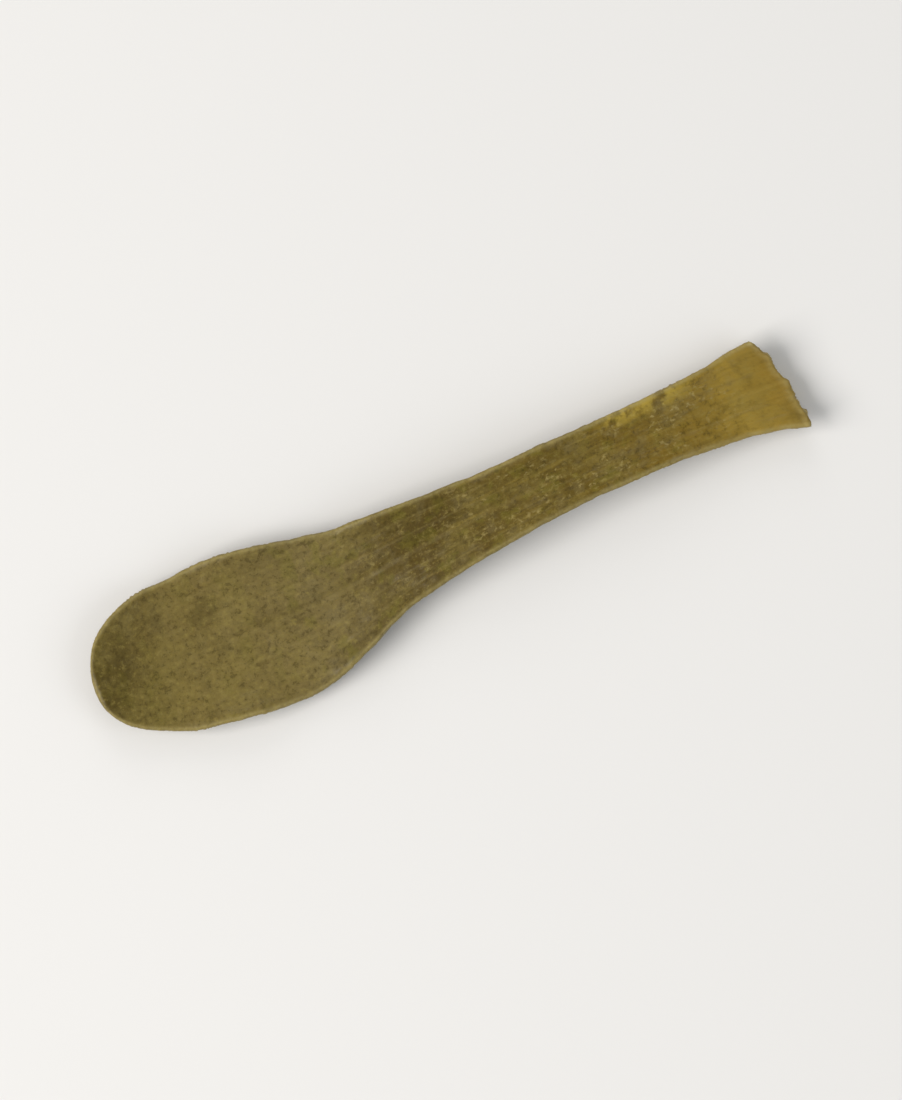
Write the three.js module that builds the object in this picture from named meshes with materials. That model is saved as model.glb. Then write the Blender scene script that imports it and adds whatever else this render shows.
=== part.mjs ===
// A pickled sea aster leaf, lying as it would on a table: a spoon-shaped fleshy blade that narrows into a long
// strap-like stalk, which widens again into the base that clasped the stem and was torn from it.
//
// Millimetres, +Z up. The leaf lies along X with its tip towards -X and its torn base towards +X. Its channelled
// upper face looks up. The origin is at the bottom centre of the leaf's box, on the surface that it lies on.
//
// The leaf is one grown piece. It is made of two sheets, the upper and the lower face, which are laid out by the same
// grid and meet all round the margin, so the solid is closed and both faces are split into triangles alike.

import * as THREE from 'three';
import { mergeGeometries, mergeVertices } from 'three/addons/utils/BufferGeometryUtils.js';

// Driving dimensions. "Run" is the distance from the tip along the leaf.
const LEAF_LENGTH = 41.7;
const TIP_ROUNDING = 5;
const EDGE_ROUNDING = 0.45;
const BASE_ROUNDING = 0.28;
const PRESSED_DEPTH = 0.3;
const TEAR_SLANT = 0.7;
const TEAR_REACH = 4.5;
const TEAR_BULGE = 0.22;
const TEAR_TOOTH = 0.06;
const TEAR_NOTCH = 0.05;

// Grid of each face. Lines crowd towards the margins, the tip and the base, where the form turns quickest.
const LINES_ALONG = 72;
const LINES_ACROSS = 20;
const END_CROWDING = 0.72;
const MARGIN_SPREAD = 0.15;

// Each table gives [run, value] at the few runs where the shape changes, and is read through a smooth curve.
const MIDRIB_SIDEWAYS = [
  [0, -1.63], [8.8, -1.64], [13.5, -1.5], [17, -1.08], [21, -0.58], [25.5, -0.18], [30.9, 0.18], [36, 0.42],
  [40, 0.52], [42, 0.45],
];
const FAR_HALF_WIDTH = [
  [0, 4.7], [2.3, 4.36], [5.5, 4.46], [8.2, 4.6], [11.2, 4.27], [15.3, 3.34], [18.6, 2.74], [24, 2.12], [29, 1.98],
  [34, 1.98], [38, 2.26], [42, 2.8],
];
const NEAR_HALF_WIDTH = [
  [0, 3.95], [2.3, 3.68], [5.5, 4.12], [9.5, 4.52], [12.1, 4.42], [14.6, 3.72], [17.8, 2.72], [21, 2.36],
  [27.5, 1.93], [34, 1.93], [38, 2.12], [40.3, 2.5], [42, 3],
];
// Height of the keel, the lowest line of the leaf, above the surface before the soft underside is pressed flat.
const KEEL_HEIGHT = [
  [0, 1.1], [3, 0.35], [7, -0.22], [11, -PRESSED_DEPTH], [15.5, -0.18], [21, 0.5], [28, 0.98], [34, 0.72],
  [39, -0.12], [40.5, -PRESSED_DEPTH], [42, -0.22],
];
const FLESH_AT_MIDRIB = [[0, 0.75], [8, 0.95], [17, 1.15], [30, 1.45], [42, 1.6]];
const FLESH_AT_MARGIN = [[0, 0.62], [10, 0.66], [20, 0.76], [42, 0.8]];
const KEEL_DEPTH = [[0, 0], [5, 0.08], [12, 0.18], [20, 0.34], [30, 0.3], [42, 0.14]];
const KEEL_SPREAD = [[0, 0.4], [12, 0.5], [24, 0.85], [42, 1.1]];
const GROOVE_DEPTH = [[0, 0], [4, 0.05], [12, 0.15], [20, 0.24], [30, 0.22], [42, 0.1]];
const GROOVE_SPREAD = [[0, 0.32], [14, 0.4], [26, 0.62], [42, 0.9]];
// How far the margins stand above the midrib: a shallow spoon in the blade, a channel in the stalk.
const CUP = [[0, 0.3], [4, 0.75], [10, 1], [17, 0.92], [26, 0.68], [36, 0.62], [42, 0.86]];
const FAR_CUP_SHARE = 1.16;
const NEAR_CUP_SHARE = 0.84;
// The margins wave a little, more in the blade than in the stalk, and the two sides wave out of step.
const WAVE_HEIGHT = [[0, 0.12], [5, 0.3], [13, 0.34], [20, 0.16], [42, 0.08]];
const WAVE_LENGTH = 8.6;
const FAR_WAVE_START = 0.6;
const NEAR_WAVE_START = 2.7;
// Two nerves run on each side of the midrib, parallel to the margins, and stand out of the lower face.
const SIDE_NERVES = [0.36, 0.68];
const NERVE_RELIEF = 0.07;
const NERVE_SPREAD = 0.09;

const FACE = { upper: 1, lower: -1 };

// The value of a table at a run, by cubic curves whose slope at each entry is that of the line past its neighbours.
function along(table, run) {
  const last = table.length - 1;
  const slope = (i) => {
    const before = table[Math.max(i - 1, 0)];
    const after = table[Math.min(i + 1, last)];
    return (after[1] - before[1]) / (after[0] - before[0]);
  };
  let i = 0;
  while (i < last - 1 && run > table[i + 1][0]) i += 1;
  const [start, from] = table[i];
  const [end, to] = table[i + 1];
  const span = end - start;
  const t = THREE.MathUtils.clamp((run - start) / span, 0, 1);
  const held = t * t * (3 - 2 * t);
  const leaving = t * (1 - t) * (1 - t);
  const arriving = t * t * (t - 1);
  return from + (to - from) * held + span * (slope(i) * leaving + slope(i + 1) * arriving);
}

// 0 at an edge and 1 at `radius` in from it, along a quarter circle.
function rounded(distance, radius) {
  const short = 1 - Math.min(Math.max(distance / radius, 0), 1);
  return Math.sqrt(1 - short * short);
}

function bell(offset, spread) {
  return Math.exp(-((offset / spread) ** 2));
}

// `across` runs from -1 at the near margin, -Y, through 0 at the midrib to 1 at the far margin, +Y.
function halfWidth(run, across) {
  const table = across > 0 ? FAR_HALF_WIDTH : NEAR_HALF_WIDTH;
  return along(table, run) * rounded(run, TIP_ROUNDING);
}

// How far the torn base stands out past the leaf's own length: slanted and a little ragged, because it was torn off.
function tear(run, across) {
  const share = THREE.MathUtils.smoothstep(run, LEAF_LENGTH - TEAR_REACH, LEAF_LENGTH);
  const bulge = TEAR_BULGE * (1 - across ** 2);
  const tooth = TEAR_TOOTH * Math.cos(3.3 * Math.PI * across + 0.9);
  const notch = TEAR_NOTCH * Math.cos(7.1 * Math.PI * across + 2.2);
  return share * (bulge + tooth + notch - TEAR_SLANT * across);
}

function fleshThickness(run, across, width) {
  const middle = along(FLESH_AT_MIDRIB, run);
  const margin = along(FLESH_AT_MARGIN, run);
  const full = margin + (middle - margin) * (1 - across * across);
  const inFromMargin = (1 - Math.abs(across)) * width;
  const inFromTip = rounded(run, EDGE_ROUNDING);
  const inFromBase = rounded(LEAF_LENGTH - run, BASE_ROUNDING);
  return full * rounded(inFromMargin, EDGE_ROUNDING) * inFromTip * inFromBase;
}

// Height half way through the flesh. The cup and the wave die out with the breadth towards the tip.
function middleHeight(run, across) {
  const flesh = along(KEEL_HEIGHT, run) + along(KEEL_DEPTH, run) + along(FLESH_AT_MIDRIB, run) / 2;
  const far = across > 0;
  const reach = Math.abs(across) * rounded(run, TIP_ROUNDING);
  const cup = along(CUP, run) * (far ? FAR_CUP_SHARE : NEAR_CUP_SHARE) * reach ** 2;
  const phase = (2 * Math.PI * run) / WAVE_LENGTH + (far ? FAR_WAVE_START : NEAR_WAVE_START);
  const wave = along(WAVE_HEIGHT, run) * Math.sin(phase) * reach ** 3;
  return flesh + cup + wave;
}

function nerveRelief(run, across) {
  const fade = rounded(run, TIP_ROUNDING) * rounded(LEAF_LENGTH - run, LEAF_LENGTH / 2);
  const side = Math.abs(across);
  return SIDE_NERVES.reduce((sum, place) => sum + NERVE_RELIEF * fade * bell(side - place, NERVE_SPREAD), 0);
}

// The point of one face at a run and a place across.
function pointOn(face, run, across, point) {
  const width = halfWidth(run, across);
  const sideways = across * width;
  const thickness = fleshThickness(run, across, width);
  const solid = thickness > 0 ? 1 : 0;
  const inward = rounded(thickness, EDGE_ROUNDING);
  let height = middleHeight(run, across) + (face * thickness) / 2;
  if (face === FACE.upper) {
    height -= along(GROOVE_DEPTH, run) * bell(sideways, along(GROOVE_SPREAD, run)) * inward * solid;
  } else {
    height -= along(KEEL_DEPTH, run) * bell(sideways, along(KEEL_SPREAD, run)) * inward * solid;
    height -= nerveRelief(run, across) * inward * solid;
  }
  height = Math.max(height, 0);
  return point.set(run + tear(run, across), along(MIDRIB_SIDEWAYS, run) + sideways, height);
}

// One face as a grid of the leaf's run and breadth, bent from a flat plane.
function faceSheet(face) {
  const sheet = new THREE.PlaneGeometry(1, 1, LINES_ACROSS, LINES_ALONG);
  sheet.deleteAttribute('normal');
  sheet.deleteAttribute('uv');
  const position = sheet.getAttribute('position');
  const point = new THREE.Vector3();
  for (let i = 0; i < position.count; i += 1) {
    const t = position.getX(i) + 0.5;
    const u = position.getY(i) + 0.5;
    const across = -Math.cos(Math.PI * t) + MARGIN_SPREAD * Math.sin(2 * Math.PI * t);
    const run = LEAF_LENGTH * (u - (END_CROWDING * Math.sin(2 * Math.PI * u)) / (2 * Math.PI));
    pointOn(face, run, across, point);
    position.setXYZ(i, point.x, point.y, point.z);
  }
  if (face === FACE.upper) turnOver(sheet);
  return sheet;
}

function turnOver(sheet) {
  const corners = sheet.index.array;
  for (let i = 0; i < corners.length; i += 3) {
    [corners[i + 1], corners[i + 2]] = [corners[i + 2], corners[i + 1]];
  }
}

// Joins the two faces along the margin, and drops the triangles that shrink to nothing at the tip.
function closedSolid(sheets) {
  const joined = mergeVertices(mergeGeometries(sheets), 1e-4);
  const corners = joined.index.array;
  const kept = [];
  for (let i = 0; i < corners.length; i += 3) {
    const [a, b, c] = [corners[i], corners[i + 1], corners[i + 2]];
    if (a !== b && b !== c && c !== a) kept.push(a, b, c);
  }
  joined.setIndex(kept);
  return joined;
}

function makeLeaf() {
  const geometry = closedSolid([faceSheet(FACE.upper), faceSheet(FACE.lower)]);
  geometry.computeBoundingBox();
  const centre = geometry.boundingBox.getCenter(new THREE.Vector3());
  geometry.translate(-centre.x, -centre.y, 0);
  geometry.computeVertexNormals();
  const flesh = new THREE.MeshStandardMaterial({ color: '#716137', roughness: 0.5, metalness: 0 });
  const leaf = new THREE.Mesh(geometry, flesh);
  leaf.name = 'leaf';
  return leaf;
}

const seaAsterLeaf = new THREE.Group();
seaAsterLeaf.add(makeLeaf());

export default seaAsterLeaf;
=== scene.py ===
"""A pickled sea aster leaf lying on a pale surface, its channelled upper face to the camera.

Lengths are millimetres where nothing else is said, and are scaled to metres when the mesh is finished. "Run"
is the distance from the tip along the leaf. "Across" goes from -1 at the near margin (-Y) through 0 at the
midrib to 1 at the far margin.
"""

import logging
import math
from dataclasses import dataclass
from enum import Enum
from functools import cached_property

import bmesh
import bpy
from mathutils import Matrix, Vector, noise


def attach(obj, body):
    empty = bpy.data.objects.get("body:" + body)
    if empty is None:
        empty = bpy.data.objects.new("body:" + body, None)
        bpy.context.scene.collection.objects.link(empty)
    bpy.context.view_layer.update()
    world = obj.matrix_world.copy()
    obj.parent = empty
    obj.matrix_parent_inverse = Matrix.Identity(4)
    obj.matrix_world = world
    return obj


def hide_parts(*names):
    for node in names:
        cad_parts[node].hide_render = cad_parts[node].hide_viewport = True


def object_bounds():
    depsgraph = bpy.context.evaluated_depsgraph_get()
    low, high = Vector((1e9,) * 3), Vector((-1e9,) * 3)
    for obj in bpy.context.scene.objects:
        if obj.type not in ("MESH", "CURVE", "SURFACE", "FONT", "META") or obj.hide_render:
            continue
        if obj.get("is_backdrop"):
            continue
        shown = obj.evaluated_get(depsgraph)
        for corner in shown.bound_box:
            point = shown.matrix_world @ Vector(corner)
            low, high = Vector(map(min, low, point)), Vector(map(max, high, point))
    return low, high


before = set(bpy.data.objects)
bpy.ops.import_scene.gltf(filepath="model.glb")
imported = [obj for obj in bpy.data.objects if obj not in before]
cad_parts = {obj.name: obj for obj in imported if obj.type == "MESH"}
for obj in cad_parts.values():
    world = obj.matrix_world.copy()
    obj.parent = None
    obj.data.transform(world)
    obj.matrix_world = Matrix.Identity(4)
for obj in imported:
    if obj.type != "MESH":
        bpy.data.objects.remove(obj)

LOG = logging.getLogger("sea_aster_leaf")
MM = 0.001
ON_THE_MARGIN = 1e-9
SCREEN_TOP = 255
SCREEN_KNEE = 0.04045
SCREEN_SLOPE = 12.92
SCREEN_LIFT = 0.055
SCREEN_POWER = 2.4
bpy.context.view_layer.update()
Table = tuple[tuple[float, float], ...]
Colour = tuple[float, float, float]
Place = tuple[float, float, float]


class Node(Enum):
    """The kinds of shader node that the finishes are built from."""

    SURFACE = "ShaderNodeBsdfPrincipled"
    OUTPUT = "ShaderNodeOutputMaterial"
    ATTRIBUTE = "ShaderNodeAttribute"
    NOISE = "ShaderNodeTexNoise"
    RAMP = "ShaderNodeValToRGB"
    MIX = "ShaderNodeMix"
    SPLIT = "ShaderNodeSeparateXYZ"
    JOIN = "ShaderNodeCombineXYZ"
    MATH = "ShaderNodeMath"
    RANGE = "ShaderNodeMapRange"
    BUMP = "ShaderNodeBump"


def linear(red: int, green: int, blue: int) -> Colour:
    """A colour given as screen values from 0 to 255, turned into light.

    Args:
        red: The red part.
        green: The green part.
        blue: The blue part.

    Returns:
        The three parts as shares of full light.
    """
    parts = []
    for part in (red, green, blue):
        share = part / SCREEN_TOP
        lifted = (share + SCREEN_LIFT) / (1 + SCREEN_LIFT)
        parts.append(share / SCREEN_SLOPE if share <= SCREEN_KNEE else lifted**SCREEN_POWER)
    return tuple(parts)


def rounded(distance: float, radius: float) -> float:
    """0 at an edge and 1 at `radius` in from it, along a quarter circle."""
    short = 1 - min(max(distance / radius, 0), 1)
    return math.sqrt(1 - short * short)


def bell(offset: float, spread: float) -> float:
    """1 at no offset, falling off smoothly on both sides."""
    return math.exp(-((offset / spread) ** 2))


def eased(value: float, start: float, end: float) -> float:
    """0 before `start`, 1 after `end`, and a smooth step between them."""
    t = min(max((value - start) / (end - start), 0), 1)
    return t * t * (3 - 2 * t)


@dataclass(frozen=True)
class Ease:
    """A smooth step from `start`, which a value of `low` gives, to `end`, which a value of `high` gives."""

    low: float
    high: float
    start: float = 0.0
    end: float = 1.0

    def at(self, value: float) -> float:
        """What the step gives for a value."""
        return self.start + (self.end - self.start) * eased(value, self.low, self.high)


@dataclass(frozen=True)
class Layers:
    """A random relief in layers, each finer and fainter than the one before."""

    fading: float
    finer: float
    count: int

    def at(self, place: Vector) -> float:
        """The relief at a place, above or below 0."""
        return noise.fractal(place, self.fading, self.finer, self.count)


@dataclass(frozen=True)
class Curve:
    """A value that changes along the leaf, through a few [run, value] entries."""

    entries: Table

    def slope(self, i: int) -> float:
        """The slope at an entry: that of the line past its neighbours.

        Args:
            i: The entry's place in the table.

        Returns:
            How much the value grows for each millimetre there.
        """
        before = self.entries[max(i - 1, 0)]
        after = self.entries[min(i + 1, len(self.entries) - 1)]
        return (after[1] - before[1]) / (after[0] - before[0])

    def at(self, run: float) -> float:
        """The value at a run.

        Args:
            run: Distance from the tip.

        Returns:
            The value on the smooth curve through the entries.
        """
        i = 0
        while i < len(self.entries) - 2 and run > self.entries[i + 1][0]:
            i += 1
        (start, low), (end, high) = self.entries[i], self.entries[i + 1]
        span = end - start
        t = min(max((run - start) / span, 0), 1)
        held = t * t * (3 - 2 * t)
        leaving = t * (1 - t) * (1 - t)
        arriving = t * t * (t - 1)
        return low + (high - low) * held + span * (self.slope(i) * leaving + self.slope(i + 1) * arriving)


@dataclass(frozen=True)
class Spot:
    """A place on the leaf. The level goes through the flesh, from -1 on the lower face to 1 on the upper."""

    run: float
    across: float
    level: float

    @property
    def face(self) -> float:
        """1 on the upper face, -1 on the lower."""
        return 1.0 if self.level > 0 else -1.0


@dataclass(frozen=True)
class LeafForm:
    """The leaf's large shape: outline, cup, waves, midrib, keel and torn base."""

    length: float = 41.7
    tip_rounding: float = 5.0
    edge_rounding: float = 0.45
    base_rounding: float = 0.16
    tear_slant: float = 0.7
    tear_reach: float = 4.5
    tear_bulge: float = 0.22
    tear_tooth: float = 0.06
    tooth_turn: float = 3.3 * math.pi
    tooth_start: float = 0.9
    tear_ragged: float = 0.17
    tear_grain: float = 2.6
    tear_depth_grain: float = 0.4
    tear_seed: float = 3.7
    tear_layers: Layers = Layers(0.75, 2.3, 4)
    tear_crowding: int = 4
    far_cup_share: float = 1.16
    near_cup_share: float = 0.84
    wave_length: float = 8.6
    far_wave_start: float = 0.6
    near_wave_start: float = 2.7
    nerves: tuple[float, ...] = (0.36, 0.68)
    nerve_relief: float = 0.07
    nerve_spread: float = 0.09
    outline_room: float = 1.0
    box_shift: tuple[float, float] = (-21.1981, 1.4697)
    midrib: Curve = Curve((
        (0, -1.63), (8.8, -1.64), (13.5, -1.5), (17, -1.08), (21, -0.58), (25.5, -0.18), (30.9, 0.18),
        (36, 0.42), (40, 0.52), (42, 0.45),
    ))
    far_half: Curve = Curve((
        (0, 4.7), (2.3, 4.36), (5.5, 4.46), (8.2, 4.6), (11.2, 4.27), (15.3, 3.34), (18.6, 2.74), (24, 2.12),
        (29, 1.98), (34, 1.98), (38, 2.26), (42, 2.8),
    ))
    near_half: Curve = Curve((
        (0, 3.95), (2.3, 3.68), (5.5, 4.12), (9.5, 4.52), (12.1, 4.42), (14.6, 3.72), (17.8, 2.72),
        (21, 2.36), (27.5, 1.93), (34, 1.93), (38, 2.12), (40.3, 2.5), (42, 3),
    ))
    keel_height: Curve = Curve((
        (0, 1.1), (3, 0.35), (7, -0.22), (11, -0.3), (15.5, -0.18), (21, 0.5), (28, 0.98), (34, 0.72),
        (39, -0.12), (40.5, -0.3), (42, -0.22),
    ))
    flesh_at_midrib: Curve = Curve(((0, 0.75), (8, 0.95), (17, 1.15), (30, 1.45), (42, 1.6)))
    flesh_at_margin: Curve = Curve(((0, 0.62), (10, 0.66), (20, 0.76), (42, 0.8)))
    keel_depth: Curve = Curve(((0, 0), (5, 0.08), (12, 0.18), (20, 0.34), (30, 0.3), (42, 0.14)))
    keel_spread: Curve = Curve(((0, 0.4), (12, 0.5), (24, 0.85), (42, 1.1)))
    groove_depth: Curve = Curve(((0, 0), (4, 0.05), (12, 0.15), (20, 0.24), (30, 0.22), (42, 0.1)))
    groove_spread: Curve = Curve(((0, 0.32), (14, 0.4), (26, 0.62), (42, 0.9)))
    cup: Curve = Curve(((0, 0.3), (4, 0.75), (10, 1), (17, 0.92), (26, 0.68), (36, 0.62), (42, 0.86)))
    wave_height: Curve = Curve(((0, 0.12), (5, 0.3), (13, 0.34), (20, 0.16), (42, 0.08)))

    def half_width(self, run: float, across: float) -> float:
        """The breadth from the midrib to the margin on the side that `across` is on."""
        side = self.far_half if across > 0 else self.near_half
        return side.at(run) * rounded(run, self.tip_rounding)

    def tear(self, spot: Spot) -> float:
        """How far the torn base stands out past the leaf's own length.

        Args:
            spot: Where on the leaf.

        Returns:
            Millimetres along the leaf, nothing where the base begins.
        """
        share = eased(spot.run, self.length - self.tear_reach, self.length)
        bulge = self.tear_bulge * (1 - spot.across**2)
        tooth = self.tear_tooth * math.cos(self.tooth_turn * spot.across + self.tooth_start)
        place = Vector((spot.across * self.tear_grain, spot.level * self.tear_depth_grain, self.tear_seed))
        ragged = self.tear_ragged * self.tear_layers.at(place)
        return share * (bulge + tooth - self.tear_slant * spot.across) + share**self.tear_crowding * ragged

    def thickness(self, run: float, across: float, width: float) -> float:
        """The flesh between the two faces.

        Args:
            run: Distance from the tip.
            across: Where between the margins.
            width: The breadth from the midrib to the margin.

        Returns:
            The thickness, nothing on the leaf's edge.
        """
        middle, margin = self.flesh_at_midrib.at(run), self.flesh_at_margin.at(run)
        full = margin + (middle - margin) * (1 - across * across)
        return full * self.inside(run, across, width)

    def inside(self, run: float, across: float, width: float) -> float:
        """0 on the leaf's edge, 1 where the rounding of the edge ends, round the tip too."""
        from_margin = rounded((1 - abs(across)) * width, self.edge_rounding)
        return from_margin * rounded(run, self.edge_rounding)

    def middle_height(self, run: float, across: float) -> float:
        """The height half way through the flesh, with the cup and the wave of the margins.

        Args:
            run: Distance from the tip.
            across: Where between the margins.

        Returns:
            The height over what the leaf lies on, before its underside is pressed flat.
        """
        flesh = self.keel_height.at(run) + self.keel_depth.at(run) + self.flesh_at_midrib.at(run) / 2
        far = across > 0
        reach = abs(across) * rounded(run, self.tip_rounding)
        cup = self.cup.at(run) * (self.far_cup_share if far else self.near_cup_share) * reach**2
        phase = 2 * math.pi * run / self.wave_length + (self.far_wave_start if far else self.near_wave_start)
        return flesh + cup + self.wave_height.at(run) * math.sin(phase) * reach**3

    def nerve(self, run: float, across: float) -> float:
        """How much the side nerves stand out of the lower face.

        Args:
            run: Distance from the tip.
            across: Where between the margins.

        Returns:
            The height of the nerve there.
        """
        fade = rounded(run, self.tip_rounding) * rounded(self.length - run, self.length / 2)
        height = self.nerve_relief * fade
        return sum(height * bell(abs(across) - nerve, self.nerve_spread) for nerve in self.nerves)

    def point(self, spot: Spot, outline: float) -> Vector:
        """The point of the leaf at a spot.

        Args:
            spot: Where on the leaf. A level between -1 and 1 is inside the flesh, on the torn end.
            outline: How far the margin is pushed out there by its small irregularities.

        Returns:
            The point in millimetres, before the leaf is moved to the middle of its box.
        """
        run, across = spot.run, spot.across
        width = self.half_width(run, across)
        sideways = across * (width + outline * min(width, self.outline_room))
        thick = self.thickness(run, across, width)
        inward = rounded(thick, self.edge_rounding) * abs(spot.level)
        height = self.middle_height(run, across) + spot.level * thick / 2
        if spot.level > 0:
            height -= self.groove_depth.at(run) * bell(sideways, self.groove_spread.at(run)) * inward
        else:
            height -= self.keel_depth.at(run) * bell(sideways, self.keel_spread.at(run)) * inward
            height -= self.nerve(run, across) * inward
        return Vector((run + self.tear(spot), self.midrib.at(run) + sideways, max(height, 0)))


@dataclass(frozen=True)
class Skin:
    """The fine relief of the leaf's skin: cells, lumps, ribs, creases, nerves and a beaded margin.

    A seed only picks one random pattern out of many.
    """

    tip_fade: float = 1.2
    cell_size: float = 0.34
    cell_relief: float = 0.015
    cell_stretch: Curve = Curve(((0, 1.0), (14, 1.25), (22, 2.4), (42, 3.2)))
    cell_seam: float = 0.45
    cell_seed: float = 3.1
    drift: float = 0.2
    drift_size: float = 0.9
    drift_seed: float = 7.0
    lump_size: float = 2.1
    lump_relief: float = 0.05
    lump_squeeze: float = 1.25
    lump_layers: Layers = Layers(0.8, 2.1, 3)
    lump_seed: float = 4.0
    rib_pitch: float = 0.42
    rib_length: float = 5.5
    rib_relief: Curve = Curve(((0, 0.003), (12, 0.006), (18, 0.014), (30, 0.026), (42, 0.026)))
    rib_layers: Layers = Layers(0.7, 2.0, 3)
    rib_seed: float = 9.0
    crease_pitch: float = 0.55
    crease_length: float = 1.7
    crease_relief: Curve = Curve(((0, 0.012), (20, 0.012), (34, 0.022), (42, 0.03)))
    crease_seed: float = 13.0
    vein_start: Ease = Ease(1.5, 7)
    midrib_ridge: float = 0.015
    midrib_spread: float = 0.11
    nerve_furrow: float = 0.013
    nerve_spread: float = 0.028
    bead_relief: float = 0.035
    bead_spread: float = 0.16
    margin_nick: float = 0.07
    margin_pitch: float = 0.8
    slow_pitch: float = 3 * margin_pitch
    quick_share: float = 0.55
    quick_seed: float = 5.0
    far_margin_seed: float = 11.0
    near_margin_seed: float = 23.0

    def cells(self, spot: Spot, sideways: float) -> float:
        """How high a spot stands on its cell.

        Args:
            spot: Where on the leaf.
            sideways: Distance from the midrib.

        Returns:
            0 in the seams between cells, 1 on top of one.
        """
        run, face = spot.run, spot.face
        place = Vector((run / self.drift_size, sideways / self.drift_size, self.drift_seed * face))
        aside = sideways / self.cell_size + self.drift * noise.noise(place)
        along = run / (self.cell_size * self.cell_stretch.at(run))
        nearest = noise.voronoi(Vector((along, aside, self.cell_seed * face)))[0]
        return min((nearest[1] - nearest[0]) / self.cell_seam, 1.0)

    def outline(self, spot: Spot) -> float:
        """How far the margin stands out of its smooth line.

        Args:
            spot: Where on the leaf.

        Returns:
            Millimetres outwards at the margin on the spot's side, for a breadth of a millimetre or more.
        """
        seed = self.far_margin_seed if spot.across > 0 else self.near_margin_seed
        slow = noise.noise(Vector((spot.run / self.slow_pitch, seed, 0)))
        quick = noise.noise(Vector((spot.run / self.margin_pitch, seed, self.quick_seed)))
        return self.margin_nick * (slow + self.quick_share * quick)

    def relief(self, form: LeafForm, spot: Spot, sideways: float, cells: float) -> float:
        """How far the skin stands out of the large shape at a spot.

        Args:
            form: The leaf's large shape.
            spot: Where on the leaf.
            sideways: Distance from the midrib.
            cells: What `cells` gives there.

        Returns:
            The relief, positive outwards.
        """
        run, face = spot.run, spot.face
        lump = Vector((run, sideways * self.lump_squeeze, self.lump_seed * face)) / self.lump_size
        rib = Vector((run / self.rib_length, sideways / self.rib_pitch, self.rib_seed * face))
        crease = Vector((run / self.crease_pitch, sideways / self.crease_length, self.crease_seed * face))
        height = self.lump_relief * self.lump_layers.at(lump) + self.cell_relief * cells
        height += self.crease_relief.at(run) * noise.noise(crease)
        height *= rounded(run, self.tip_fade)
        height += self.rib_relief.at(run) * self.rib_layers.at(rib)
        from_margin = (1 - abs(spot.across)) * form.half_width(run, spot.across)
        height += self.bead_relief * bell(from_margin, self.bead_spread)
        if face > 0:
            fade = self.vein_start.at(run)
            height += self.midrib_ridge * fade * bell(sideways, self.midrib_spread)
            from_nerve = min(abs(abs(spot.across) - nerve) for nerve in form.nerves)
            height -= self.nerve_furrow * fade * bell(from_nerve, self.nerve_spread)
        return height


@dataclass(frozen=True)
class TornEnd:
    """The torn face of the base: ragged flesh with the stubs of the leaf's bundles of fibre.

    The eased steps run from the rim of the torn face, 0, to its middle, 1. Each stub has its place across
    and its level.
    """

    corner_share: float = 0.16
    ragged: float = 0.11
    ragged_size: float = 0.36
    ragged_layers: Layers = Layers(0.6, 2.2, 4)
    ragged_seed: float = 4.0
    ragged_start: Ease = Ease(0, 0.25)
    hollow: float = 0.16
    hollow_start: Ease = Ease(0.1, 0.6)
    stub_length: float = 0.22
    stub_spread: float = 0.15
    stub_share: float = 0.8
    stub_swing: float = 0.5
    stub_turn: float = 4.1
    stub_phase: float = 1.0
    stub_start: Ease = Ease(0, 0.2)
    skin_end: Ease = Ease(0, 0.2, 1.0, 0.0)
    flesh_start: Ease = Ease(0.05, 0.3)
    flattening: Ease = Ease(0, 0.3)
    stubs: Table = ((-0.64, 0.0), (-0.35, -0.1), (0.02, -0.22), (0.37, -0.06), (0.67, 0.1))

    def bundle(self, spot: Spot, thick: float, width: float) -> float:
        """How much of a spot is fibre, from 0 in plain flesh to 1 in the middle of a bundle.

        Args:
            spot: Where on the torn face.
            thick: The flesh's thickness there.
            width: The breadth from the midrib to the margin.

        Returns:
            The share of fibre.
        """
        place = Vector((spot.across * width, spot.level * thick / 2, 0))
        middles = (Vector((across * width, level * thick / 2, 0)) for across, level in self.stubs)
        return max(bell((place - middle).length, self.stub_spread) for middle in middles)

    def reach(self, spot: Spot, thick: float, width: float, inward: float) -> float:
        """How far the end stands out along the leaf at a spot of the torn face.

        Args:
            spot: Where on the torn face.
            thick: The flesh's thickness there.
            width: The breadth from the midrib to the margin.
            inward: 0 at the rim of the torn face, 1 at its middle.

        Returns:
            Millimetres, positive away from the leaf.
        """
        place = Vector((spot.across * width, spot.level * thick / 2, 0))
        rough = self.ragged_layers.at(place / self.ragged_size + Vector((0, 0, self.ragged_seed)))
        out = self.ragged * rough * self.ragged_start.at(inward) - self.hollow * self.hollow_start.at(inward)
        swing = self.stub_swing * math.sin(self.stub_turn * spot.across + self.stub_phase)
        length = self.stub_length * (self.stub_share + swing)
        return out + length * self.bundle(spot, thick, width) * self.stub_start.at(inward)


@dataclass(frozen=True)
class Pattern:
    """A soft random pattern: how fine it is, how many finer layers it has, and how strong those are."""

    scale: float
    detail: float
    rough: float


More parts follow.
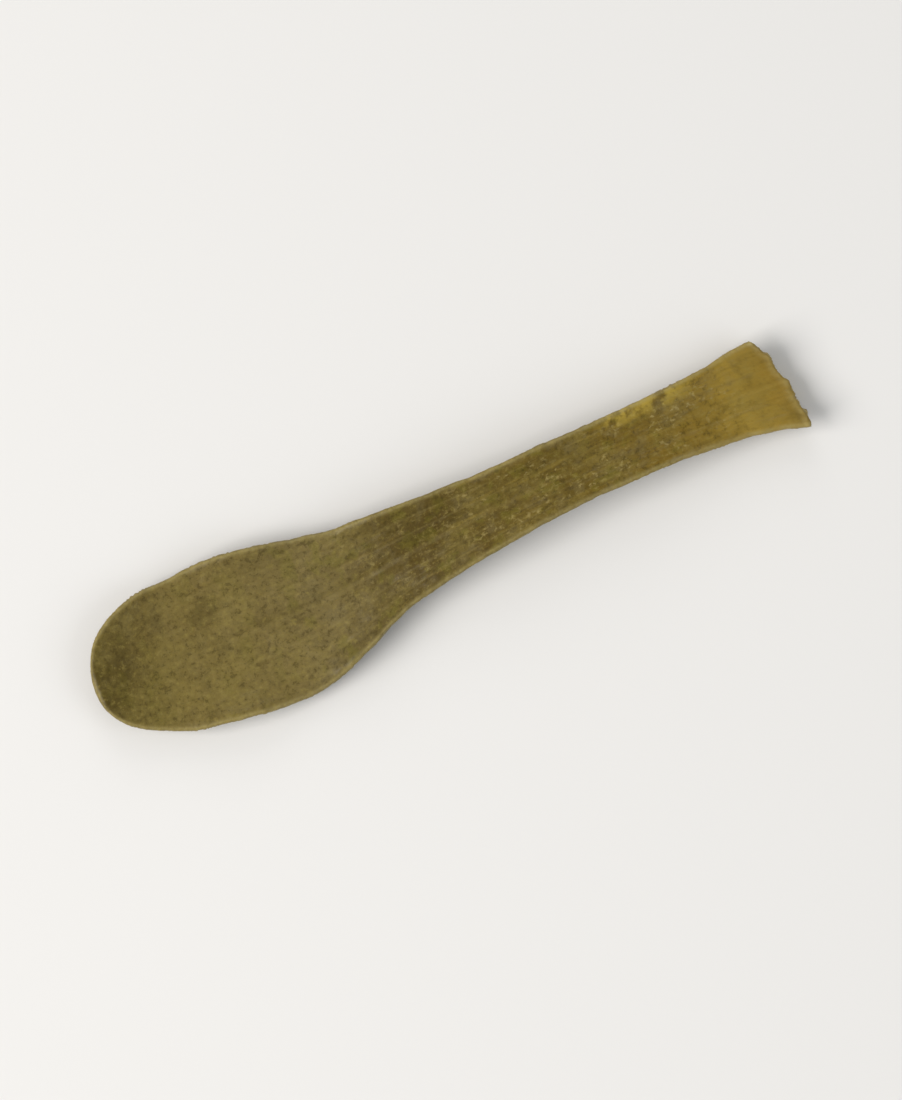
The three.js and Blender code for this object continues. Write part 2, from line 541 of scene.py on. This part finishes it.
@dataclass(frozen=True)
class Mask:
    """A value in a material: one output that other nodes can be built on."""

    board: "Board"
    socket: bpy.types.NodeSocket

    def times(self, other: "Mask | float") -> "Mask":
        """This value times another."""
        return self.board.maths("MULTIPLY", self, other)

    def plus(self, other: "Mask | float") -> "Mask":
        """This value plus another."""
        return self.board.maths("ADD", self, other)

    def size(self) -> "Mask":
        """This value without its sign."""
        return self.board.maths("ABSOLUTE", self, 0.0)

    def through(self, ease: Ease) -> "Mask":
        """This value put through a smooth step.

        Args:
            ease: The step.

        Returns:
            What the step gives, held at both ends.
        """
        node = self.board.add(Node.RANGE)
        node.interpolation_type = "SMOOTHSTEP"
        node.clamp = True
        self.board.feed(node.inputs["Value"], self)
        ends = {"From Min": ease.low, "From Max": ease.high, "To Min": ease.start, "To Max": ease.end}
        for name, value in ends.items():
            node.inputs[name].default_value = value
        return Mask(self.board, node.outputs["Result"])


class Board:
    """A material's node tree, with short ways to lay out what the finishes need."""

    def __init__(self, name: str) -> None:
        """Makes an empty material with its surface and output.

        Args:
            name: The material's name.
        """
        self.material = bpy.data.materials.new(name)
        self.material.use_nodes = True
        self.tree = self.material.node_tree
        self.tree.nodes.clear()
        self.surface = self.add(Node.SURFACE)
        output = self.add(Node.OUTPUT)
        self.tree.links.new(self.surface.outputs["BSDF"], output.inputs["Surface"])

    def add(self, kind: Node) -> bpy.types.Node:
        """A new node of a kind."""
        return self.tree.nodes.new(kind.value)

    def feed(self, socket: bpy.types.NodeSocket, value: "Mask | float | Colour") -> None:
        """Puts a value, a colour or another node's output into a socket.

        Args:
            socket: The socket that gets it.
            value: What it gets.
        """
        if isinstance(value, Mask):
            self.tree.links.new(value.socket, socket)
        elif isinstance(value, tuple):
            socket.default_value = (*value, 1.0)
        else:
            socket.default_value = value

    def maths(self, operation: str, first: "Mask | float", second: "Mask | float") -> Mask:
        """One sum of two values.

        Args:
            operation: Blender's name of the sum.
            first: The first value.
            second: The second value.

        Returns:
            The result.
        """
        node = self.add(Node.MATH)
        node.operation = operation
        self.feed(node.inputs[0], first)
        self.feed(node.inputs[1], second)
        return Mask(self, node.outputs[0])

    def number(self, name: str) -> Mask:
        """The one number that the mesh keeps at each point.

        Args:
            name: The name that it keeps it under.

        Returns:
            The number.
        """
        read = self.add(Node.ATTRIBUTE)
        read.attribute_name = name
        return Mask(self, read.outputs["Fac"])

    def numbers(self, name: str) -> tuple[Mask, Mask, Mask]:
        """The three numbers that the mesh keeps at each point.

        Args:
            name: The name that it keeps them under.

        Returns:
            The three numbers.
        """
        read = self.add(Node.ATTRIBUTE)
        read.attribute_name = name
        split = self.add(Node.SPLIT)
        self.tree.links.new(read.outputs["Vector"], split.inputs[0])
        return tuple(Mask(self, out) for out in split.outputs)

    def place(self, along: Mask, sideways: Mask, up: Mask) -> Mask:
        """A place put together from three numbers.

        Args:
            along: The first number.
            sideways: The second number.
            up: The third number.

        Returns:
            The place.
        """
        join = self.add(Node.JOIN)
        for socket, value in zip(join.inputs, (along, sideways, up)):
            self.feed(socket, value)
        return Mask(self, join.outputs[0])

    def noise(self, place: Mask, pattern: Pattern) -> Mask:
        """A soft random value.

        Args:
            place: Where it is read.
            pattern: How fine and how rough it is.

        Returns:
            The value, around 0.5.
        """
        node = self.add(Node.NOISE)
        self.feed(node.inputs["Vector"], place)
        node.inputs["Scale"].default_value = pattern.scale
        node.inputs["Detail"].default_value = pattern.detail
        node.inputs["Roughness"].default_value = pattern.rough
        return Mask(self, node.outputs["Fac"])

    def ramp(self, value: Mask, stops: tuple[tuple[float, Colour], ...]) -> Mask:
        """A colour read from a row of stops.

        Args:
            value: Where in the row, from 0 to 1.
            stops: Pairs of a place in the row and the colour there.

        Returns:
            The colour.
        """
        node = self.add(Node.RAMP)
        self.feed(node.inputs["Fac"], value)
        row = node.color_ramp
        while len(row.elements) < len(stops):
            row.elements.new(0.5)
        for element, (at, colour) in zip(row.elements, stops):
            element.position = at
            element.color = (*colour, 1.0)
        return Mask(self, node.outputs["Color"])

    def blend(self, share: Mask, base: "Mask | Colour", over: "Mask | Colour") -> Mask:
        """One colour laid over another.

        Args:
            share: How much of the second colour, from 0 to 1.
            base: The colour below.
            over: The colour laid over it.

        Returns:
            The blended colour.
        """
        node = self.add(Node.MIX)
        node.data_type = "RGBA"
        for socket, value in zip((node.inputs[i] for i in (0, 6, 7)), (share, base, over)):
            self.feed(socket, value)
        return Mask(self, node.outputs[2])


@dataclass(frozen=True)
class Ground:
    """What a finish reads at each point of the leaf."""

    board: Board
    run: Mask
    sideways: Mask
    height: Mask
    across: Mask
    upper: Mask
    torn: Mask
    grain: Mask
    inside: Mask
    fibre: Mask
    spot: Mask

    @classmethod
    def read(cls, board: Board) -> "Ground":
        """Reads what the leaf's mesh keeps.

        Args:
            board: The material's board.

        Returns:
            The ground of that material.
        """
        place, zone = board.numbers("place"), board.numbers("zone")
        grain, inside, fibre = (board.number(name) for name in ("grain", "inside", "fibre"))
        return cls(board, *place, *zone, grain, inside, fibre, board.place(*place))

    def stretched(self, stretch: Place) -> Mask:
        """The place on the leaf with each of its three numbers stretched."""
        numbers = zip((self.run, self.sideways, self.height), stretch)
        return self.board.place(*(number.times(share) for number, share in numbers))

    def between(self, start: Ease, end: Ease) -> Mask:
        """How much a point is on a stretch along the leaf, which comes in and fades out at two runs."""
        return self.run.through(start).times(self.run.through(end))


DARK = linear(58, 47, 12)
GREY = linear(127, 113, 58)
# The dark streaks of the stalk use this colour, and so does the painted shade beside the midrib and nerves.
SHADE = linear(84, 70, 30)


@dataclass(frozen=True)
class Mottle:
    """Broad soft patches of darker, greyer and greener flesh, and painted shade on a stretch of the near
    side.
    """

    green: Colour = linear(104, 99, 26)
    dull: Colour = linear(102, 90, 56)
    patch: Pattern = Pattern(0.38, 3, 0.6)
    patch_share: Ease = Ease(0.4, 0.68, 0.0, 0.34)
    near_side: Ease = Ease(-0.45, -0.85)
    near_start: Ease = Ease(10, 13.5)
    near_end: Ease = Ease(19, 15.5, 0.0, 0.3)
    shadow: Pattern = Pattern(0.62, 4, 0.6)
    shadow_share: Ease = Ease(0.5, 0.26, 0.0, 0.42)
    tinge: Pattern = Pattern(0.95, 3, 0.55)
    tinge_across: float = 2.6
    tinge_drift: float = 0.1
    tinge_start: Ease = Ease(9, 14, 0.4, 1.0)
    tinge_end: Ease = Ease(38, 33)
    green_share: Ease = Ease(0.52, 0.66, 0.0, 0.3)
    dull_share: Ease = Ease(0.48, 0.34, 0.0, 0.4)

    def over(self, ground: Ground, colour: Mask) -> Mask:
        """Lays the patches, and the painted shade of the near side, over the flesh.

        Args:
            ground: What the finish reads at each point.
            colour: The colour so far.

        Returns:
            The mottled colour.
        """
        board = ground.board
        colour = board.blend(board.noise(ground.spot, self.patch).through(self.patch_share), colour, GREY)
        # Painted shade: the near side darkened between about 10 and 19 mm from the tip.
        near = ground.between(self.near_start, self.near_end)
        colour = board.blend(ground.across.through(self.near_side).times(near), colour, DARK)
        colour = board.blend(board.noise(ground.spot, self.shadow).through(self.shadow_share), colour, DARK)
        sideways, drift = ground.across.times(self.tinge_across), ground.run.times(self.tinge_drift)
        tinge = board.noise(board.place(ground.run, sideways, drift), self.tinge)
        there = ground.between(self.tinge_start, self.tinge_end)
        colour = board.blend(tinge.through(self.green_share).times(there), colour, self.green)
        return board.blend(tinge.through(self.dull_share).times(there), colour, self.dull)


@dataclass(frozen=True)
class Streaks:
    """Fine light and dark streaks along the leaf, strong on the stalk and faint on the blade."""

    light: Colour = linear(146, 124, 50)
    start: Ease = Ease(13, 25, 0.03, 0.36)
    end: Ease = Ease(39.5, 36.5, 0.45, 1.0)
    light_stretch: Place = (0.16, 2.4, 0.8)
    light_pattern: Pattern = Pattern(1.3, 4, 0.62)
    light_share: Ease = Ease(0.52, 0.74)
    dark_stretch: Place = (0.12, 3.1, 1.0)
    dark_pattern: Pattern = Pattern(1.1, 4, 0.62)
    dark_share: Ease = Ease(0.5, 0.3)

    def over(self, ground: Ground, colour: Mask) -> Mask:
        """Lays the streaks over the flesh.

        Args:
            ground: What the finish reads at each point.
            colour: The colour so far.

        Returns:
            The streaked colour.
        """
        board = ground.board
        there = ground.between(self.start, self.end)
        light = board.noise(ground.stretched(self.light_stretch), self.light_pattern)
        dark = board.noise(ground.stretched(self.dark_stretch), self.dark_pattern)
        colour = board.blend(light.through(self.light_share).times(there), colour, self.light)
        return board.blend(dark.through(self.dark_share).times(there), colour, SHADE)


@dataclass(frozen=True)
class Speckle:
    """The fine speckle of the skin's cells, darker in their seams and faint on the smooth base."""

    base_fade: Ease = Ease(40.0, 36.5, 0.3, 1.0)
    seam_share: Ease = Ease(0.75, 0.05, 0.0, 0.13)
    speck: Pattern = Pattern(2.9, 4, 0.75)
    light_share: Ease = Ease(0.52, 0.68, 0.0, 0.5)
    dark_share: Ease = Ease(0.49, 0.34, 0.0, 0.55)

    def over(self, ground: Ground, colour: Mask) -> Mask:
        """Lays the speckle over the flesh.

        Args:
            ground: What the finish reads at each point.
            colour: The colour so far.

        Returns:
            The speckled colour.
        """
        board = ground.board
        there = ground.run.through(self.base_fade)
        colour = board.blend(ground.grain.through(self.seam_share).times(there), colour, DARK)
        speck = board.noise(ground.spot, self.speck)
        colour = board.blend(speck.through(self.light_share).times(there), colour, GREY)
        return board.blend(speck.through(self.dark_share).times(there), colour, DARK)


@dataclass(frozen=True)
class Line:
    """A line along the leaf: how far it lies from where it belongs, its breadth and how strong it is."""

    offset: float
    breadth: Ease
    strength: float

    def on(self, distance: Mask, there: Mask) -> Mask:
        """How much of the line shows, by the distance from where it belongs, and where it is at all."""
        return distance.plus(-self.offset).size().through(self.breadth).times(there).times(self.strength)


@dataclass(frozen=True)
class Veins:
    """The midrib as a thin yellowish line with painted shade beside it, and the fainter side nerves, each
    with a thin line of painted shade beside it.
    """

    vein: Colour = linear(134, 119, 68)
    start: Ease = Ease(1.5, 7)
    midrib: Line = Line(0.0, Ease(0.17, 0.05), 0.1)
    midrib_shade: Line = Line(0.24, Ease(0.2, 0.05), 0.12)
    nerves: tuple[float, ...] = (0.36, 0.68)
    nerve_start: Ease = Ease(2.5, 9)
    nerve_end: Ease = Ease(34, 24, 0.35, 1.0)
    nerve: Line = Line(0.0, Ease(0.035, 0.008), 0.12)
    nerve_shade: Line = Line(0.04, Ease(0.03, 0.01), 0.07)

    def over(self, ground: Ground, colour: Mask) -> Mask:
        """Lays the veins, and the painted shade beside them, over the flesh.

        Args:
            ground: What the finish reads at each point.
            colour: The colour so far.

        Returns:
            The colour with its veins.
        """
        board = ground.board
        there = ground.run.through(self.start)
        # Painted shade: a darker line beside the midrib.
        colour = board.blend(self.midrib_shade.on(ground.sideways, there), colour, SHADE)
        colour = board.blend(self.midrib.on(ground.sideways, there), colour, self.vein)
        there = ground.between(self.nerve_start, self.nerve_end)
        for nerve in self.nerves:
            from_nerve = ground.across.size().plus(-nerve)
            colour = board.blend(self.nerve.on(from_nerve, there), colour, self.vein)
            # Painted shade: a darker line beside each nerve.
            colour = board.blend(self.nerve_shade.on(from_nerve, there), colour, SHADE)
        return colour


@dataclass(frozen=True)
class Flecks:
    """Small pale ragged flecks, thickest down the middle where the blade narrows, and near the base."""

    pale: Colour = linear(148, 132, 80)
    stretch: Place = (0.75, 1.0, 1.0)
    fleck: Pattern = Pattern(3.9, 3, 0.6)
    fleck_share: Ease = Ease(0.53, 0.72)
    crowd: Pattern = Pattern(0.7, 2, 0.5)
    crowd_share: Ease = Ease(0.38, 0.62, 0.1, 1.25)
    middle: Ease = Ease(1.0, 0.6, 0.25, 1.0)
    blade_share: Ease = Ease(13, 17, 0.12, 0.32)
    stalk_share: Ease = Ease(20, 25, 0.0, 0.34)
    base_end: Ease = Ease(40.5, 36.5)

    def over(self, ground: Ground, colour: Mask) -> Mask:
        """Lays the flecks over the flesh.

        Args:
            ground: What the finish reads at each point.
            colour: The colour so far.

        Returns:
            The flecked colour.
        """
        board, run = ground.board, ground.run
        place = ground.stretched(self.stretch)
        fleck = board.noise(place, self.fleck).through(self.fleck_share)
        crowd = board.noise(place, self.crowd).through(self.crowd_share)
        share = run.through(self.blade_share).plus(run.through(self.stalk_share))
        share = share.times(ground.across.size().through(self.middle)).times(run.through(self.base_end))
        return board.blend(fleck.times(crowd).times(share), colour, self.pale)


@dataclass(frozen=True)
class Edges:
    """A thin pale rim all round the margin, and a painted highlight in pale yellow patches along a stretch
    of the stalk's far side.
    """

    rim: Colour = linear(150, 136, 86)
    bleached: Colour = linear(162, 140, 56)
    worn: Pattern = Pattern(3.4, 4, 0.7)
    worn_share: Ease = Ease(0.3, 0.66, 0.45, 1.0)
    margin_share: Ease = Ease(0.985, 0.66, 0.0, 0.6)
    tear_share: Ease = Ease(41.1, 41.6, 0.0, 0.5)
    bleached_side: Ease = Ease(0.35, 0.9)
    bleached_start: Ease = Ease(30.5, 32.5)
    bleached_end: Ease = Ease(38, 35.5)
    bleached_patch: Pattern = Pattern(1.1, 3, 0.6)
    bleached_share: Ease = Ease(0.4, 0.56, 0.0, 0.75)

    def over(self, ground: Ground, colour: Mask) -> Mask:
        """Lays the rim and the painted highlight of the stalk over the flesh.

        Args:
            ground: What the finish reads at each point.
            colour: The colour so far.

        Returns:
            The colour with its edges.
        """
        board = ground.board
        worn = board.noise(ground.spot, self.worn).through(self.worn_share)
        edge = ground.inside.through(self.margin_share).plus(ground.run.through(self.tear_share))
        # Painted highlight: pale yellow patches along the far side of the stalk, between about 31 and 38 mm
        # from the tip.
        side = ground.across.through(self.bleached_side)
        side = side.times(ground.between(self.bleached_start, self.bleached_end))
        patch = board.noise(ground.spot, self.bleached_patch).through(self.bleached_share)
        colour = board.blend(side.times(patch), colour, self.bleached)
        return board.blend(edge.times(worn), colour, self.rim)


@dataclass(frozen=True)
class Underside:
    """The paler lower face."""

    pale: Colour = linear(128, 116, 72)
    share: Ease = Ease(0.15, 0.85, 0.42, 0.0)

    def over(self, ground: Ground, colour: Mask) -> Mask:
        """Lays the paler skin over the lower face."""
        return ground.board.blend(ground.upper.through(self.share), colour, self.pale)


@dataclass(frozen=True)
class TornFlesh:
    """The paler flesh of the torn end, a little stained, and browned where its fibres stick out."""

    flesh: Colour = linear(184, 166, 110)
    stained: Colour = linear(142, 121, 60)
    fibre: Colour = linear(104, 78, 34)
    stain: Pattern = Pattern(2.6, 5, 0.7)
    stain_share: Ease = Ease(0.35, 0.7, 0.0, 0.55)
    fibre_share: Ease = Ease(0.12, 0.75, 0.0, 0.8)

    def over(self, ground: Ground, colour: Mask) -> Mask:
        """Lays the torn flesh over the end.

        Args:
            ground: What the finish reads at each point.
            colour: The colour so far.

        Returns:
            The colour with the torn end.
        """
        board = ground.board
        stain = board.noise(ground.spot, self.stain).through(self.stain_share)
        flesh = board.blend(stain, self.flesh, self.stained)
        flesh = board.blend(ground.fibre.through(self.fibre_share), flesh, self.fibre)
        return board.blend(ground.torn, colour, flesh)


@dataclass(frozen=True)
class WetSkin:
    """The satin of wet skin, its finest relief and the soft light in the flesh. Depths are in metres."""

    fine: Pattern = Pattern(6.5, 4, 0.6)
    roughness: Ease = Ease(0.3, 0.7, 0.38, 0.55)
    bump_strength: float = 0.55
    bump_depth: float = 0.00002
    refraction: float = 1.42
    shine: float = 0.14
    film: float = 0.16
    film_roughness: float = 0.2
    film_refraction: float = 1.35
    softness: float = 0.18
    softness_depth: float = 0.0004
    softness_by_colour: Place = (1.0, 0.75, 0.3)

    def dress(self, ground: Ground) -> None:
        """Gives the surface its gloss, its finest relief and its softness.

        Args:
            ground: What the finish reads at each point.
        """
        board, surface = ground.board, ground.board.surface
        fine = board.noise(ground.spot, self.fine)
        board.feed(surface.inputs["Roughness"], fine.through(self.roughness))
        bump = board.add(Node.BUMP)
        bump.inputs["Strength"].default_value = self.bump_strength
        bump.inputs["Distance"].default_value = self.bump_depth
        board.feed(bump.inputs["Height"], fine)
        board.tree.links.new(bump.outputs["Normal"], surface.inputs["Normal"])
        surface.inputs["IOR"].default_value = self.refraction
        surface.inputs["Specular IOR Level"].default_value = self.shine
        surface.inputs["Coat Weight"].default_value = self.film
        surface.inputs["Coat Roughness"].default_value = self.film_roughness
        surface.inputs["Coat IOR"].default_value = self.film_refraction
        surface.inputs["Subsurface Weight"].default_value = self.softness
        surface.inputs["Subsurface Radius"].default_value = self.softness_by_colour
        surface.inputs["Subsurface Scale"].default_value = self.softness_depth


@dataclass(frozen=True)
class LeafFinish:
    """Olive pickled flesh: a colour that changes along the leaf, and the layers that lie over it."""

    length: float = 42.0
    along: tuple[tuple[float, Colour], ...] = (
        (0.0, linear(69, 57, 15)),
        (0.12, linear(106, 91, 46)),
        (0.33, linear(107, 93, 53)),
        (0.44, linear(81, 66, 26)),
        (0.52, linear(77, 61, 19)),
        (0.6, linear(95, 78, 28)),
        (0.7, linear(91, 73, 19)),
        (0.84, linear(114, 91, 27)),
        (0.93, linear(138, 114, 42)),
        (1.0, linear(119, 94, 28)),
    )
    layers: tuple[Mottle | Streaks | Speckle | Veins | Flecks | Edges | Underside | TornFlesh, ...] = (
        Mottle(), Streaks(), Speckle(), Veins(), Flecks(), Edges(), Underside(), TornFlesh(),
    )
    skin: WetSkin = WetSkin()

    def material(self) -> bpy.types.Material:
        """Makes the material.

        Returns:
            The finished material.
        """
        board = Board("leaf_flesh")
        ground = Ground.read(board)
        colour = board.ramp(ground.run.times(1 / self.length), self.along)
        for layer in self.layers:
            colour = layer.over(ground, colour)
        board.feed(board.surface.inputs["Base Color"], colour)
        self.skin.dress(ground)
        return board.material


@dataclass(frozen=True)
class Leaf:
    """The whole leaf: one closed mesh, drawn out of a ball.

    The ball's poles become the tip and the middle of the tear.
    """

    form: LeafForm = LeafForm()
    skin: Skin = Skin()
    end: TornEnd = TornEnd()
    finish: LeafFinish = LeafFinish()
    around: int = 208
    rings: int = 452
    end_rings: int = 26
    crowding: float = 0.55
    margin_spread: float = 0.15
    settling: Ease = Ease(0.0, 0.05)

    @cached_property
    def body_rings(self) -> int:
        """The rings between the tip and the rim of the torn face."""
        return self.rings - self.end_rings

    def ring_of(self, ball: Vector) -> int:
        """The ring that a vertex of the ball is on, counted from the tip."""
        return round(math.acos(min(max(ball.z, -1), 1)) / math.pi * self.rings)

    def spot_of(self, ball: Vector) -> tuple[Spot, float]:
        """Where a vertex of the ball goes.

        Args:
            ball: The vertex on the unit ball.

        Returns:
            Its spot on the leaf, and how far into the torn face it is, from 0 on the skin to 1 inmost.
        """
        ring = self.ring_of(ball)
        turn = math.atan2(abs(ball.y), ball.x) / math.pi
        across = -math.cos(math.pi * turn) + self.margin_spread * math.sin(2 * math.pi * turn)
        level = 0.0 if abs(ball.y) < ON_THE_MARGIN else math.copysign(1, ball.y)
        last = self.form.length - self.form.base_rounding
        if ring <= self.body_rings:
            share = ring / self.body_rings
            run = last * (share - self.crowding * math.sin(2 * math.pi * share) / (2 * math.pi))
            return Spot(run, across, level), 0.0
        inward = (ring - self.body_rings) / self.end_rings
        run = last + self.form.base_rounding * rounded(inward, self.end.corner_share)
        flat = 1 - self.end.flattening.at(inward) * (1 - math.sin(math.pi * turn))
        return Spot(run, across * (1 - inward), level * (1 - inward) * flat), inward

    def build(self) -> bpy.types.Object:
        """Makes the leaf's mesh and keeps on it the numbers that its finish reads.

        Returns:
            The leaf's object, at the origin, in metres.
        """
        made = bmesh.new()
        bmesh.ops.create_uvsphere(made, u_segments=self.around, v_segments=self.rings, radius=1)
        place = made.verts.layers.float_vector.new("place")
        zone = made.verts.layers.float_vector.new("zone")
        grain = made.verts.layers.float.new("grain")
        inside = made.verts.layers.float.new("inside")
        fibre = made.verts.layers.float.new("fibre")
        reliefs: dict[int, float] = {}
        for vert in made.verts:
            spot, inward = self.spot_of(vert.co)
            width = self.form.half_width(spot.run, spot.across)
            sideways = spot.across * width
            point = self.form.point(spot, self.skin.outline(spot) * spot.across**2)
            cells = self.skin.cells(spot, sideways)
            if inward > 0:
                thick = self.form.thickness(spot.run, spot.across, width)
                point.x += self.end.reach(spot, thick, width, inward)
                vert[fibre] = self.end.bundle(spot, thick, width)
            relief = self.skin.relief(self.form, spot, sideways, cells)
            reliefs[vert.index] = relief * self.end.skin_end.at(inward)
            vert[place] = Vector((spot.run, sideways, point.z))
            vert[zone] = Vector((spot.across, (1 + spot.level) / 2, self.end.flesh_start.at(inward)))
            vert[grain] = cells
            vert[inside] = self.form.inside(spot.run, spot.across, width)
            vert.co = point
        self.raise_relief(made, reliefs)
        bmesh.ops.transform(made, matrix=self.to_box(), verts=made.verts)
        return self.finished(made)

    def raise_relief(self, made: bmesh.types.BMesh, reliefs: dict[int, float]) -> None:
        """Pushes each vertex out along the smooth form's normal, and no lower than what the leaf lies on.

        Args:
            made: The leaf's mesh.
            reliefs: How far each vertex is pushed, by its number.
        """
        made.normal_update()
        normals = {vert.index: vert.normal.copy() for vert in made.verts}
        for vert in made.verts:
            normal = normals[vert.index]
            free = self.settling.at(vert.co.z) if normal.z < 0 else 1.0
            vert.co += normal * reliefs[vert.index] * free
            vert.co.z = max(vert.co.z, 0)

    def to_box(self) -> Matrix:
        """From millimetres along the leaf to metres about the middle of the leaf's box."""
        return Matrix.Scale(MM, 4) @ Matrix.Translation((*self.form.box_shift, 0))

    def finished(self, made: bmesh.types.BMesh) -> bpy.types.Object:
        """Turns the finished mesh into the leaf's object.

        Args:
            made: The leaf's mesh.

        Returns:
            The leaf's object, in the scene.
        """
        for face in made.faces:
            face.smooth = True
        mesh = bpy.data.meshes.new("sea_aster_leaf")
        made.to_mesh(mesh)
        made.free()
        leaf = bpy.data.objects.new("sea_aster_leaf", mesh)
        bpy.context.scene.collection.objects.link(leaf)
        return leaf

    def dress(self, leaf: bpy.types.Object) -> None:
        """Gives the leaf its finish and its place in the frame.

        Args:
            leaf: The leaf's object.
        """
        leaf.data.materials.append(self.finish.material())
        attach(leaf, "root")
        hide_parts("leaf")


@dataclass(frozen=True)
class Lamp:
    """A soft square light that looks at the leaf. Its place and side are in metres."""

    name: str
    place: Place
    side: float
    watts: float
    tint: Colour

    def hang(self, aim: Vector) -> None:
        """Makes the light and turns it to what it lights.

        Args:
            aim: The point that it looks at.
        """
        data = bpy.data.lights.new(self.name, "AREA")
        data.shape = "SQUARE"
        data.size = self.side
        data.energy = self.watts
        data.color = self.tint
        lamp = bpy.data.objects.new(self.name, data)
        lamp.location = self.place
        lamp.rotation_mode = "QUATERNION"
        lamp.rotation_quaternion = (aim - Vector(self.place)).to_track_quat("-Z", "Y")
        lamp.visible_camera = False
        bpy.context.scene.collection.objects.link(lamp)


@dataclass(frozen=True)
class Studio:
    """The pale floor, the soft light and the camera that looks down on the leaf. Lengths are in metres."""

    floor_side: float = 3.0
    floor_drop: float = 0.00002
    floor_colour: Colour = (0.66, 0.65, 0.635)
    floor_roughness: float = 0.85
    sky_colour: Colour = (0.96, 0.98, 1.0)
    sky_strength: float = 0.44
    lens: float = 320.0
    sight: tuple[float, float] = (0.01, 10.0)
    fill_share: float = 0.86
    frame_size: tuple[int, int] = (902, 1100)
    elevation: float = 86.0
    roll: float = 21.5
    lamps: tuple[Lamp, ...] = (
        Lamp("key", (-0.36, 0.02, 0.34), 0.34, 2.8, (1.0, 0.975, 0.94)),
        Lamp("fill", (0.36, -0.3, 0.36), 0.4, 0.85, (0.95, 0.98, 1.0)),
        Lamp("back", (0.1, 0.5, 0.3), 0.3, 0.5, (1.0, 0.99, 0.97)),
    )

    def lay_floor(self) -> None:
        """A plain matt floor, just under the leaf."""
        made = bmesh.new()
        bmesh.ops.create_grid(made, x_segments=1, y_segments=1, size=self.floor_side / 2)
        bmesh.ops.translate(made, verts=made.verts, vec=(0, 0, -self.floor_drop))
        mesh = bpy.data.meshes.new("floor")
        made.to_mesh(mesh)
        made.free()
        floor = bpy.data.objects.new("floor", mesh)
        bpy.context.scene.collection.objects.link(floor)
        board = Board("floor_paper")
        board.feed(board.surface.inputs["Base Color"], self.floor_colour)
        board.surface.inputs["Roughness"].default_value = self.floor_roughness
        mesh.materials.append(board.material)
        floor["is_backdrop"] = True

    def light(self, aim: Vector) -> None:
        """Hangs the lamps and sets the sky.

        Args:
            aim: The point that the lamps look at.
        """
        for lamp in self.lamps:
            lamp.hang(aim)
        world = bpy.data.worlds.new("studio")
        world.use_nodes = True
        sky = world.node_tree.nodes["Background"]
        sky.inputs["Color"].default_value = (*self.sky_colour, 1.0)
        sky.inputs["Strength"].default_value = self.sky_strength
        bpy.context.scene.world = world
        bpy.context.scene.view_settings.view_transform = "Standard"

    def point_camera(self, low: Vector, high: Vector) -> None:
        """Looks down on the leaf so that its tip is at the lower left and its base at the upper right.

        Args:
            low: The lowest corner of the leaf's box.
            high: The highest corner of the leaf's box.
        """
        data = bpy.data.cameras.new("camera")
        data.lens = self.lens
        data.clip_start, data.clip_end = self.sight
        camera = bpy.data.objects.new("camera", data)
        bpy.context.scene.collection.objects.link(camera)
        bpy.context.scene.camera = camera
        size = high - low
        roll = math.radians(self.roll)
        span = size.x * math.cos(roll) + size.y * math.sin(roll)
        wide, tall = self.frame_size
        view_width = data.sensor_width * wide / tall
        distance = span / self.fill_share * self.lens / view_width
        tilt = math.radians(self.elevation)
        back = Vector((0, -math.cos(tilt), math.sin(tilt)))
        turn = back.to_track_quat("Z", "Y").to_matrix() @ Matrix.Rotation(-roll, 3, "Z")
        camera.rotation_mode = "QUATERNION"
        camera.rotation_quaternion = turn.to_quaternion()
        camera.location = (low + high) / 2 + back * distance


def main() -> None:
    """Builds the leaf and the studio round it."""
    logging.basicConfig(level=logging.INFO, format="%(message)s")
    leaf = Leaf()
    piece = leaf.build()
    leaf.dress(piece)
    LOG.info("%s: %d vertices, %d faces", piece.name, len(piece.data.vertices), len(piece.data.polygons))
    low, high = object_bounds()
    studio = Studio()
    studio.lay_floor()
    studio.light((low + high) / 2)
    studio.point_camera(low, high)
    LOG.info("studio: floor, %d lamps and the camera", len(studio.lamps))


if __name__ == "__main__":
    main()
